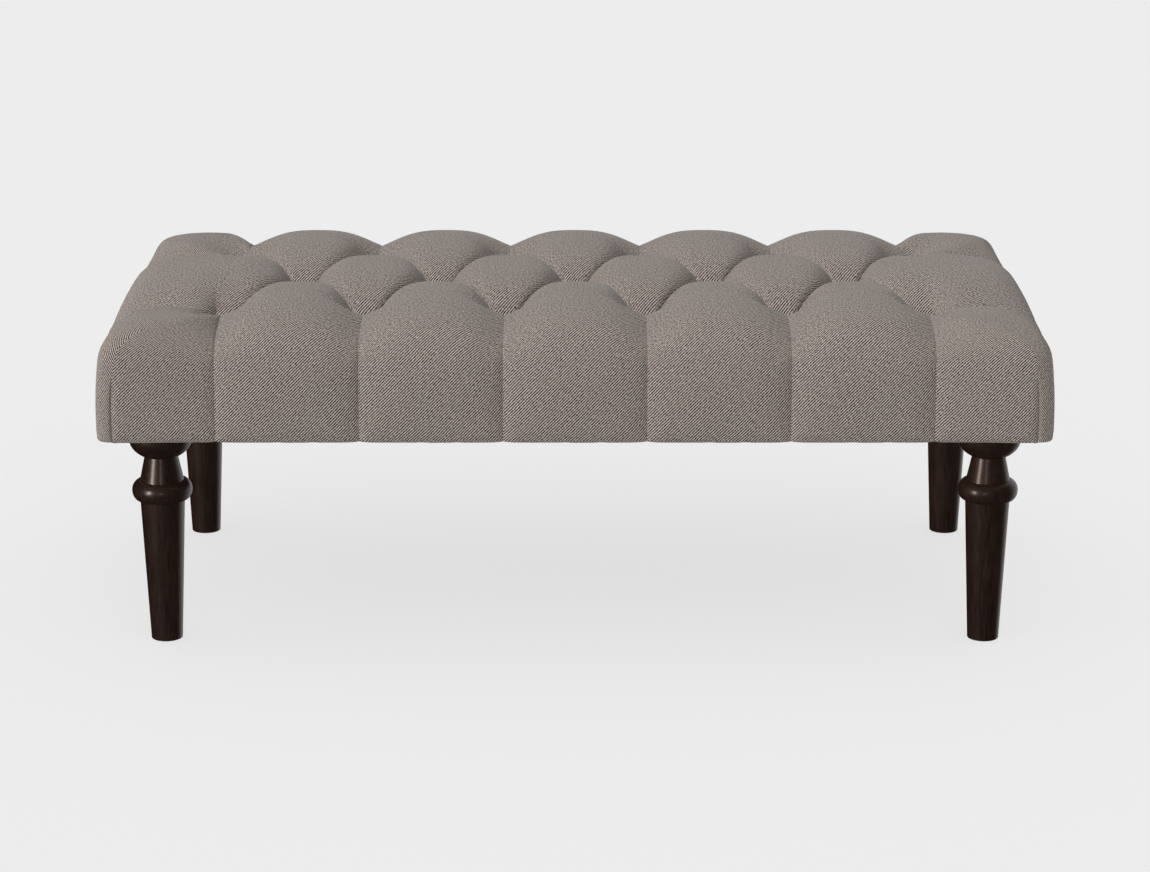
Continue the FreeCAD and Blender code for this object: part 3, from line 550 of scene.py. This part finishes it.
bpy.ops.object.select_all(action="DESELECT")
bpy.ops.mesh.primitive_grid_add(
    x_subdivisions=dustCloth["width"] // dustCloth["cell"],
    y_subdivisions=dustCloth["depth"] // dustCloth["cell"],
    size=1, location=(0, 0, dustCloth["level"] * mm),
)
dustSheet = bpy.context.active_object
dustSheet.name = "dustSheet"
dustSheet.scale = (dustCloth["width"] * mm, dustCloth["depth"] * mm, 1)
bpy.ops.object.transform_apply(location=True, rotation=False, scale=True)
places = np.empty(len(dustSheet.data.vertices) * 3)
dustSheet.data.vertices.foreach_get("co", places)
places = places.reshape(-1, 3)
bayEdgesX = [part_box("left_end_rail")[1][0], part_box("cross_rail_1")[0][0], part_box("cross_rail_1")[1][0],
             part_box("cross_rail_2")[0][0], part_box("cross_rail_2")[1][0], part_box("right_end_rail")[0][0]]
bayEdgesY = [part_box("front_rail")[1][1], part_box("rear_rail")[0][1]]
sagX = bayRise(places[:, 0], sorted(bayEdgesX))
sagY = bayRise(places[:, 1], bayEdgesY)
places[:, 2] -= dustCloth["sag"] * mm * sagX * sagY
dustSheet.data.vertices.foreach_set("co", places.ravel())
giveThickness(dustSheet, dustCloth["thickness"])
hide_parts("dust_cover")
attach(dustSheet, "root")
print("dust cover:", len(dustSheet.data.polygons), "faces")


# Staples: wire crowns along the dust cover's edge

staple = {"crown": 10, "wire": 1.0, "bevel": 0.3, "inset": 6, "spacing": 55}

bpy.ops.object.select_all(action="DESELECT")
bpy.ops.mesh.primitive_cube_add(size=1, location=(0, 0, 0))
oneStaple = bpy.context.active_object
oneStaple.scale = (staple["crown"] * mm, staple["wire"] * mm, staple["wire"] * mm)
bpy.ops.object.transform_apply(location=False, rotation=False, scale=True)
bevel = oneStaple.modifiers.new("bevel", "BEVEL")
bevel.width = staple["bevel"] * mm
bevel.segments = 1
bpy.ops.object.modifier_apply(modifier=bevel.name)


def copyStaple(x, y, turn):
    wire = oneStaple.copy()
    wire.data = oneStaple.data.copy()
    wire.rotation_euler = (0, 0, turn)
    wire.location = (x * mm, y * mm, (dustCloth["level"] - dustCloth["thickness"]) * mm)
    bpy.context.scene.collection.objects.link(wire)
    return wire


def stapleRun(length):
    count = round(length / staple["spacing"])
    return [(i + 0.5) / count * length - length / 2 for i in range(count)]


edgeX = dustCloth["width"] / 2 - staple["inset"]
edgeY = dustCloth["depth"] / 2 - staple["inset"]
wires = [copyStaple(x, side * edgeY, 0) for x in stapleRun(2 * edgeX) for side in (-1, 1)]
wires += [copyStaple(side * edgeX, y, math.pi / 2) for y in stapleRun(2 * edgeY) for side in (-1, 1)]
bpy.data.objects.remove(oneStaple)
bpy.ops.object.select_all(action="DESELECT")
for wire in wires:
    wire.select_set(True)
bpy.context.view_layer.objects.active = wires[0]
bpy.ops.object.transform_apply(location=True, rotation=True, scale=False)
bpy.ops.object.join()
staples = bpy.context.active_object
staples.name = "coverStaples"
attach(staples, "root")
print("staples:", len(wires))


# Materials, with pattern sizes in millimetres

# wool-blend twill, woven: diagonal wales of light and dark yarn, broken by slubs, dry and soft;
# real slubs and heather are too fine to show in the render, so both are drawn coarser;
# the wales stand out on upright cloth and are plainer on the tops and round the corners, which is painted
# shade standing in for how the yarn relief catches the light at each slope
twill = {
    "wale": 3.94, "drift": 1.0, "driftSize": 60,
    "slub": 0.6, "slubLength": 4.8, "slubsPerWale": 1.6, "heather": 2.4, "heatherTone": 1.25,
    "plain": 1.3, "striped": 3.8, "upright": (0.2, 0.55), "turnLoss": 0.7,
    "cornerSlope": 0.14, "cornerShown": 0.33,
    "relief": 0.45, "stops": [(0.22, "#140F0E"), (0.78, "#AFA49D")],
}
twillCloth, tree, shader = newMaterial("woolTwill")
weave = addNode(tree, "UVMap", uv_map="weave")
cloth = addNode(tree, "Mapping", {"Vector": weave.outputs["UV"], "Scale": [perMetre(1)] * 3})
parts = addNode(tree, "SeparateXYZ", {"Vector": cloth.outputs[0]})
across = addNode(tree, "Math", {0: parts.outputs["X"], 1: parts.outputs["Y"]}, operation="SUBTRACT")
along = addNode(tree, "Math", {0: parts.outputs["X"], 1: parts.outputs["Y"]}, operation="ADD")
drift = addNode(tree, "TexNoise", {
    "Vector": cloth.outputs[0], "Scale": 1 / twill["driftSize"], "Detail": 1.0,
})
shift = addNode(tree, "Math", {
    0: drift.outputs["Fac"], 1: twill["drift"] * twill["wale"], 2: across.outputs[0],
}, operation="MULTIPLY_ADD")
phase = addNode(tree, "Math", {0: shift.outputs[0], 1: twill["wale"]}, operation="DIVIDE")
wale = addNode(tree, "Math", {0: phase.outputs[0], 1: 0.5}, operation="PINGPONG")
yarnPlace = addNode(tree, "CombineXYZ", {"X": phase.outputs[0], "Y": along.outputs[0]})
yarnScale = addNode(tree, "Mapping", {
    "Vector": yarnPlace.outputs[0], "Scale": (twill["slubsPerWale"], 1 / twill["slubLength"], 1),
})
yarn = addNode(tree, "TexNoise", {
    "Vector": yarnScale.outputs[0], "Scale": 1.0, "Detail": 2.0, "Roughness": 0.6,
})
heather = addNode(tree, "TexNoise", {
    "Vector": cloth.outputs[0], "Scale": 1 / twill["heather"], "Detail": 2.0, "Roughness": 0.6,
})

# how upright and how square to a side the cloth is sets how strongly its wales show; this contrast is painted
# shade of the yarn relief
turned = addNode(tree, "NewGeometry")
lean = addNode(tree, "SeparateXYZ", {"Vector": turned.outputs["Normal"]})
frontal = addNode(tree, "Math", {0: lean.outputs["Y"]}, operation="ABSOLUTE")
endwise = addNode(tree, "Math", {0: lean.outputs["X"]}, operation="ABSOLUTE")
endFace = addNode(tree, "Math", {
    0: frontal.outputs[0], 1: -twill["turnLoss"], 2: endwise.outputs[0],
}, operation="MULTIPLY_ADD")
longFace = addNode(tree, "Math", {
    0: endwise.outputs[0], 1: -twill["turnLoss"], 2: frontal.outputs[0],
}, operation="MULTIPLY_ADD")
upright = addNode(tree, "Math", {0: longFace.outputs[0], 1: endFace.outputs[0]}, operation="MAXIMUM")
# painted shade, not wear: the wales' contrast is weaker where the cloth leans over to the top
paintedWaleShade = addNode(tree, "MapRange", {
    "Value": upright.outputs[0], "From Min": twill["upright"][0], "From Max": twill["upright"][1],
    "To Min": twill["plain"], "To Max": twill["striped"],
})
skew = addNode(tree, "Math", {0: endwise.outputs[0], 1: frontal.outputs[0]}, operation="MULTIPLY")
sloped = addNode(tree, "Math", {0: skew.outputs[0], 1: lean.outputs["Z"]}, operation="MULTIPLY")
square = addNode(tree, "MapRange", {
    "Value": sloped.outputs[0], "From Max": twill["cornerSlope"],
    "To Min": 1.0, "To Max": twill["cornerShown"],
})
shown = addNode(tree, "Math", {0: paintedWaleShade.outputs[0], 1: square.outputs[0]}, operation="MULTIPLY")

# wale, slubs and heather are each centred on zero before they are added to a middle tone
level = addNode(tree, "Math", {0: wale.outputs[0], 1: 0.25 + twill["slub"] / 2}, operation="SUBTRACT")
slub = addNode(tree, "Math", {
    0: yarn.outputs["Fac"], 1: twill["slub"], 2: level.outputs[0],
}, operation="MULTIPLY_ADD")
stripe = addNode(tree, "Math", {0: slub.outputs[0], 1: shown.outputs[0], 2: 0.5}, operation="MULTIPLY_ADD")
tones = addNode(tree, "Math", {
    0: heather.outputs["Fac"], 1: twill["heatherTone"], 2: -twill["heatherTone"] / 2,
}, operation="MULTIPLY_ADD")
tone = addNode(tree, "Math", {0: stripe.outputs[0], 1: tones.outputs[0]}, operation="ADD", use_clamp=True)
colour = addNode(tree, "ValToRGB", {"Fac": tone.outputs[0]}, stops=twill["stops"])
relief = addNode(tree, "Bump", {
    "Height": tone.outputs[0], "Strength": 0.5, "Distance": twill["relief"] * mm,
})
plug(tree, shader, {
    "Base Color": colour.outputs["Color"], "Normal": relief.outputs[0], "Roughness": 0.92,
    "Specular IOR Level": 0.15, "Sheen Weight": 0.12, "Sheen Roughness": 0.5,
})
dress(cover, twillCloth)

# polyester wadding: white matted fibre, matte and cloudy; drawn as clumps, because single hairs don't show
fibreLook = {"clump": 9, "relief": 2, "stops": [(0.3, "#D4D2CC"), (0.7, "#F4F3EF")]}
waddingFibre, tree, shader = newMaterial("polyesterWadding")
place = addNode(tree, "TexCoord")
fibre = addNode(tree, "TexNoise", {
    "Vector": place.outputs["Object"], "Scale": perMetre(fibreLook["clump"]),
    "Detail": 6.0, "Roughness": 0.75, "Distortion": 1.2,
})
colour = addNode(tree, "ValToRGB", {"Fac": fibre.outputs["Fac"]}, stops=fibreLook["stops"])
relief = addNode(tree, "Bump", {
    "Height": fibre.outputs["Fac"], "Strength": 0.8, "Distance": fibreLook["relief"] * mm,
})
plug(tree, shader, {
    "Base Color": colour.outputs["Color"], "Normal": relief.outputs[0], "Roughness": 1.0,
})
dress(wadding, waddingFibre)

# polyurethane foam, cut: open cells, drawn a little coarser so that they show, slightly yellowed
foamLook = {
    "cell": 1.5, "cellShade": 0.4, "ageSize": 120, "relief": 0.6,
    "stops": [(0.3, "#D8C48C"), (0.9, "#F2E8C6")],
}
foamBlock, tree, shader = newMaterial("cutFoam")
place = addNode(tree, "TexCoord")
cells = addNode(tree, "TexVoronoi", {
    "Vector": place.outputs["Object"], "Scale": perMetre(foamLook["cell"]),
})
age = addNode(tree, "TexNoise", {
    "Vector": place.outputs["Object"], "Scale": perMetre(foamLook["ageSize"]), "Detail": 3.0,
})
blend = addNode(tree, "Math", {
    0: cells.outputs["Distance"], 1: foamLook["cellShade"], 2: age.outputs["Fac"],
}, operation="MULTIPLY_ADD")
colour = addNode(tree, "ValToRGB", {"Fac": blend.outputs[0]}, stops=foamLook["stops"])
relief = addNode(tree, "Bump", {
    "Height": cells.outputs["Distance"], "Strength": 0.6, "Distance": foamLook["relief"] * mm,
})
plug(tree, shader, {
    "Base Color": colour.outputs["Color"], "Normal": relief.outputs[0], "Roughness": 0.95,
})
dress(nodes["foam_pad"], foamBlock)

# spunbond polypropylene: black non-woven cloth with rows of small heat-bonded points;
# its hair-fine strands are drawn coarser so that they show
spunbondLook = {"bond": 3, "strand": 2, "relief": 0.4, "stops": [(0.05, "#0B0B0C"), (0.45, "#242427")]}
spunbond, tree, shader = newMaterial("spunbondCloth")
place = addNode(tree, "TexCoord")
bond = addNode(tree, "TexVoronoi", {
    "Vector": place.outputs["Object"], "Scale": perMetre(spunbondLook["bond"]), "Randomness": 0.15,
})
strands = addNode(tree, "TexNoise", {
    "Vector": place.outputs["Object"], "Scale": perMetre(spunbondLook["strand"]), "Detail": 5.0,
})
fleck = addNode(tree, "Math", {
    0: bond.outputs["Distance"], 1: strands.outputs["Fac"],
}, operation="MULTIPLY")
colour = addNode(tree, "ValToRGB", {"Fac": fleck.outputs[0]}, stops=spunbondLook["stops"])
relief = addNode(tree, "Bump", {
    "Height": fleck.outputs[0], "Strength": 0.5, "Distance": spunbondLook["relief"] * mm,
})
plug(tree, shader, {
    "Base Color": colour.outputs["Color"], "Normal": relief.outputs[0], "Roughness": 0.85,
})
dress(dustSheet, spunbond)

# espresso-stained hardwood under satin lacquer: nearly black brown, fine upright grain, soft gloss
legWood = {
    "grain": (1.5, 1.5, 60), "cloud": 70, "cloudShade": 0.35, "gloss": (0.30, 0.46), "relief": 0.3,
    "stops": [(0.45, "#110906"), (0.95, "#311F18")],
}
stainedWood, tree, shader = newMaterial("espressoHardwood")
place = addNode(tree, "TexCoord")
lines = addNode(tree, "Mapping", {
    "Vector": place.outputs["Object"], "Scale": [perMetre(size) for size in legWood["grain"]],
})
grain = addNode(tree, "TexNoise", {
    "Vector": lines.outputs[0], "Scale": 1.0, "Detail": 4.0, "Roughness": 0.6,
})
cloud = addNode(tree, "TexNoise", {
    "Vector": place.outputs["Object"], "Scale": perMetre(legWood["cloud"]), "Detail": 2.0,
})
stain = addNode(tree, "Math", {
    0: cloud.outputs["Fac"], 1: legWood["cloudShade"], 2: grain.outputs["Fac"],
}, operation="MULTIPLY_ADD")
colour = addNode(tree, "ValToRGB", {"Fac": stain.outputs[0]}, stops=legWood["stops"])
gloss = addNode(tree, "MapRange", {
    "Value": grain.outputs["Fac"], "To Min": legWood["gloss"][0], "To Max": legWood["gloss"][1],
})
relief = addNode(tree, "Bump", {
    "Height": grain.outputs["Fac"], "Strength": 0.12, "Distance": legWood["relief"] * mm,
})
plug(tree, shader, {
    "Base Color": colour.outputs["Color"], "Roughness": gloss.outputs[0], "Normal": relief.outputs[0],
    "Coat Weight": 0.5, "Coat Roughness": 0.22,
})
for name in nodes:
    if name.startswith("leg_"):
        dress(nodes[name], stainedWood)

# bare woods of the frame: planed pine, beech dowels, birch plywood; pale, dry, with grain along the piece
bareWoods = {
    "planedPineLong": {"ring": (60, 5, 5), "dark": "#B5854C", "light": "#DDB982", "rough": 0.62},
    "planedPineAcross": {"ring": (5, 60, 5), "dark": "#B5854C", "light": "#DDB982", "rough": 0.62},
    "birchPlywood": {"ring": (90, 7, 1.4), "dark": "#B99567", "light": "#E2C79C", "rough": 0.6},
    "beechDowel": {"ring": (2.2, 2.2, 14), "dark": "#C29A6C", "light": "#E0C19A", "rough": 0.55},
}
ringRelief = 0.3
woods = {}
for name, look in bareWoods.items():
    woods[name], tree, shader = newMaterial(name)
    place = addNode(tree, "TexCoord")
    rings = addNode(tree, "Mapping", {
        "Vector": place.outputs["Object"], "Scale": [perMetre(size) for size in look["ring"]],
    })
    grain = addNode(tree, "TexNoise", {
        "Vector": rings.outputs[0], "Scale": 1.0, "Detail": 5.0, "Distortion": 0.4,
    })
    colour = addNode(tree, "ValToRGB", {"Fac": grain.outputs["Fac"]}, stops=[
        (0.35, look["dark"]), (0.65, look["light"]),
    ])
    relief = addNode(tree, "Bump", {
        "Height": grain.outputs["Fac"], "Strength": 0.2, "Distance": ringRelief * mm,
    })
    plug(tree, shader, {
        "Base Color": colour.outputs["Color"], "Normal": relief.outputs[0], "Roughness": look["rough"],
    })
for name in ("front_rail", "rear_rail"):
    dress(nodes[name], woods["planedPineLong"])
for name in nodes:
    if name.startswith(("cross_rail", "left_end", "right_end", "corner_block")):
        dress(nodes[name], woods["planedPineAcross"])
dress(nodes["deck_board"], woods["birchPlywood"])
dress(nodes["rail_dowels"], woods["beechDowel"])

# zinc-plated steel: bright grey metal, faintly cloudy
zincLook = {"cloud": 6, "gloss": (0.25, 0.5), "stops": [(0.3, "#A9AAA8"), (0.7, "#CFD0CE")]}
zincSteel, tree, shader = newMaterial("zincSteel")
place = addNode(tree, "TexCoord")
cloud = addNode(tree, "TexNoise", {
    "Vector": place.outputs["Object"], "Scale": perMetre(zincLook["cloud"]), "Detail": 4.0,
})
colour = addNode(tree, "ValToRGB", {"Fac": cloud.outputs["Fac"]}, stops=zincLook["stops"])
gloss = addNode(tree, "MapRange", {
    "Value": cloud.outputs["Fac"], "To Min": zincLook["gloss"][0], "To Max": zincLook["gloss"][1],
})
plug(tree, shader, {
    "Base Color": colour.outputs["Color"], "Roughness": gloss.outputs[0], "Metallic": 1.0,
})
for name in ("deck_screws", "block_screws", "tee_nuts", "hanger_bolts"):
    dress(nodes[name], zincSteel)
dress(staples, zincSteel)

# waxed twine: twisted strands, slightly shiny
twineLook = {"twist": 6, "relief": 0.3, "stops": [(0.1, "#4B423C"), (0.9, "#857A70")]}
waxedTwine, tree, shader = newMaterial("waxedTwine")
place = addNode(tree, "TexCoord")
twist = addNode(tree, "TexWave", {
    "Vector": place.outputs["Object"], "Scale": perMetre(twineLook["twist"]), "Distortion": 1.0,
}, bands_direction="DIAGONAL")
colour = addNode(tree, "ValToRGB", {"Fac": twist.outputs["Fac"]}, stops=twineLook["stops"])
relief = addNode(tree, "Bump", {
    "Height": twist.outputs["Fac"], "Strength": 0.6, "Distance": twineLook["relief"] * mm,
})
plug(tree, shader, {
    "Base Color": colour.outputs["Color"], "Normal": relief.outputs[0], "Roughness": 0.5,
})
dress(nodes["tufting_twine"], waxedTwine)

# moulded plastics: a spark-eroded grain, drawn coarser so that it shows, low gloss
plastics = {
    "mouldedButton": {
        "dark": "#CFCBC0", "light": "#E2DED4", "node": "back_buttons", "slot": "button_plastic",
    },
    "mouldedNylon": {
        "dark": "#241C18", "light": "#382C26", "node": "floor_glides", "slot": "glide_plastic",
    },
}
mouldGrain = {"grit": 0.8, "relief": 0.2}
for name, look in plastics.items():
    plastic, tree, shader = newMaterial(name)
    place = addNode(tree, "TexCoord")
    grit = addNode(tree, "TexNoise", {
        "Vector": place.outputs["Object"], "Scale": perMetre(mouldGrain["grit"]), "Detail": 3.0,
    })
    colour = addNode(tree, "ValToRGB", {"Fac": grit.outputs["Fac"]}, stops=[
        (0.3, look["dark"]), (0.7, look["light"]),
    ])
    relief = addNode(tree, "Bump", {
        "Height": grit.outputs["Fac"], "Strength": 0.15, "Distance": mouldGrain["relief"] * mm,
    })
    plug(tree, shader, {
        "Base Color": colour.outputs["Color"], "Normal": relief.outputs[0], "Roughness": 0.5,
    })
    dress(nodes[look["node"]], plastic)
print("materials:", len(bpy.data.materials))


# Camera, floor and light

camera = {"place": (0, -4.3826, 1.4156), "pitchDown": 15.41, "lens": 104.06, "sensor": 36, "farEnd": 60}
lens = bpy.data.cameras.new("camera")
lens.lens = camera["lens"]
lens.sensor_width = camera["sensor"]
lens.clip_end = camera["farEnd"]
eye = bpy.data.objects.new("camera", lens)
eye.location = camera["place"]
eye.rotation_euler = (math.radians(90 - camera["pitchDown"]), 0, 0)
bpy.context.scene.collection.objects.link(eye)
bpy.context.scene.camera = eye

# the floor is painted grey and lit a little from within, so that it stays pale and even
paint = {"size": 60, "grey": 0.3, "glow": 0.528}
bpy.ops.object.select_all(action="DESELECT")
bpy.ops.mesh.primitive_plane_add(size=paint["size"])
floor = bpy.context.active_object
floor.name = "studioFloor"
floor.visible_glossy = False
material, tree, shader = newMaterial("paintedFloor")
plug(tree, shader, {
    "Base Color": [paint["grey"]] * 3 + [1], "Roughness": 1.0, "Specular IOR Level": 0.0,
    "Emission Color": (1, 1, 1, 1), "Emission Strength": paint["glow"],
})
floor.data.materials.append(material)

# the room is even and white for the cloth, and dark with one pale side for what the lacquer mirrors
room = {
    "strength": 0.46, "mirrored": 0.003, "paleSide": 0.75, "paleTurn": (0.6, 0.8), "paleEdge": (0.68, 0.92),
}
world = bpy.data.worlds.new("studio")
bpy.context.scene.world = world
world.use_nodes = True
tree = world.node_tree
even = tree.nodes["Background"]
plug(tree, even, {"Color": (1, 1, 1, 1), "Strength": room["strength"]})
direction = addNode(tree, "TexCoord")
parts = addNode(tree, "SeparateXYZ", {"Vector": direction.outputs["Generated"]})
rightward = addNode(tree, "Math", {0: parts.outputs["X"], 1: room["paleTurn"][0]}, operation="MULTIPLY")
behind = addNode(tree, "Math", {
    0: parts.outputs["Y"], 1: room["paleTurn"][1], 2: rightward.outputs[0],
}, operation="MULTIPLY_ADD")
side = addNode(tree, "MapRange", {
    "Value": behind.outputs[0], "From Min": room["paleEdge"][0], "From Max": room["paleEdge"][1],
    "To Min": room["mirrored"], "To Max": room["paleSide"],
})
mirrored = addNode(tree, "Background", {"Strength": side.outputs[0]})
ray = addNode(tree, "LightPath")
either = addNode(tree, "MixShader", {
    0: ray.outputs["Is Glossy Ray"], 1: even.outputs[0], 2: mirrored.outputs[0],
})
tree.links.new(either.outputs[0], tree.nodes["World Output"].inputs["Surface"])

# broad soft suns from the left and the front, which the lacquer does not mirror
suns = {
    "keySun": {"energy": 2.5, "spread": 30, "tilt": 52, "turn": -66, "shadow": False},
    "fillSun": {"energy": 0.55, "spread": 40, "tilt": 50, "turn": 5, "shadow": False},
}
for name, look in suns.items():
    sun = bpy.data.lights.new(name, "SUN")
    sun.energy = look["energy"]
    sun.angle = math.radians(look["spread"])
    sun.use_shadow = look["shadow"]
    lamp = bpy.data.objects.new(name, sun)
    lamp.rotation_euler = (math.radians(look["tilt"]), 0, math.radians(look["turn"]))
    lamp.visible_glossy = False
    bpy.context.scene.collection.objects.link(lamp)

# tall strips that only the lacquer mirrors
strips = {
    "leftStrip": {
        "power": 34, "turn": -50, "away": 3.2, "height": 0.8, "size": (0.45, 1.3), "tint": "#FFE9DC",
    },
    "frontStrip": {
        "power": 4, "turn": -8, "away": 3.6, "height": 0.9, "size": (0.2, 1.0), "tint": "#FFF3EA",
    },
}
for name, look in strips.items():
    strip = bpy.data.lights.new(name, "AREA")
    strip.shape = "RECTANGLE"
    strip.energy = look["power"]
    strip.size, strip.size_y = look["size"]
    strip.color = linear(look["tint"])[:3]
    lamp = bpy.data.objects.new(name, strip)
    turn = math.radians(look["turn"])
    lamp.location = (look["away"] * math.sin(turn), -look["away"] * math.cos(turn), look["height"])
    lamp.rotation_euler = (math.radians(90), 0, turn)
    lamp.visible_diffuse = False
    bpy.context.scene.collection.objects.link(lamp)
bpy.context.scene.view_settings.view_transform = "Standard"
print("camera, floor and lights set")
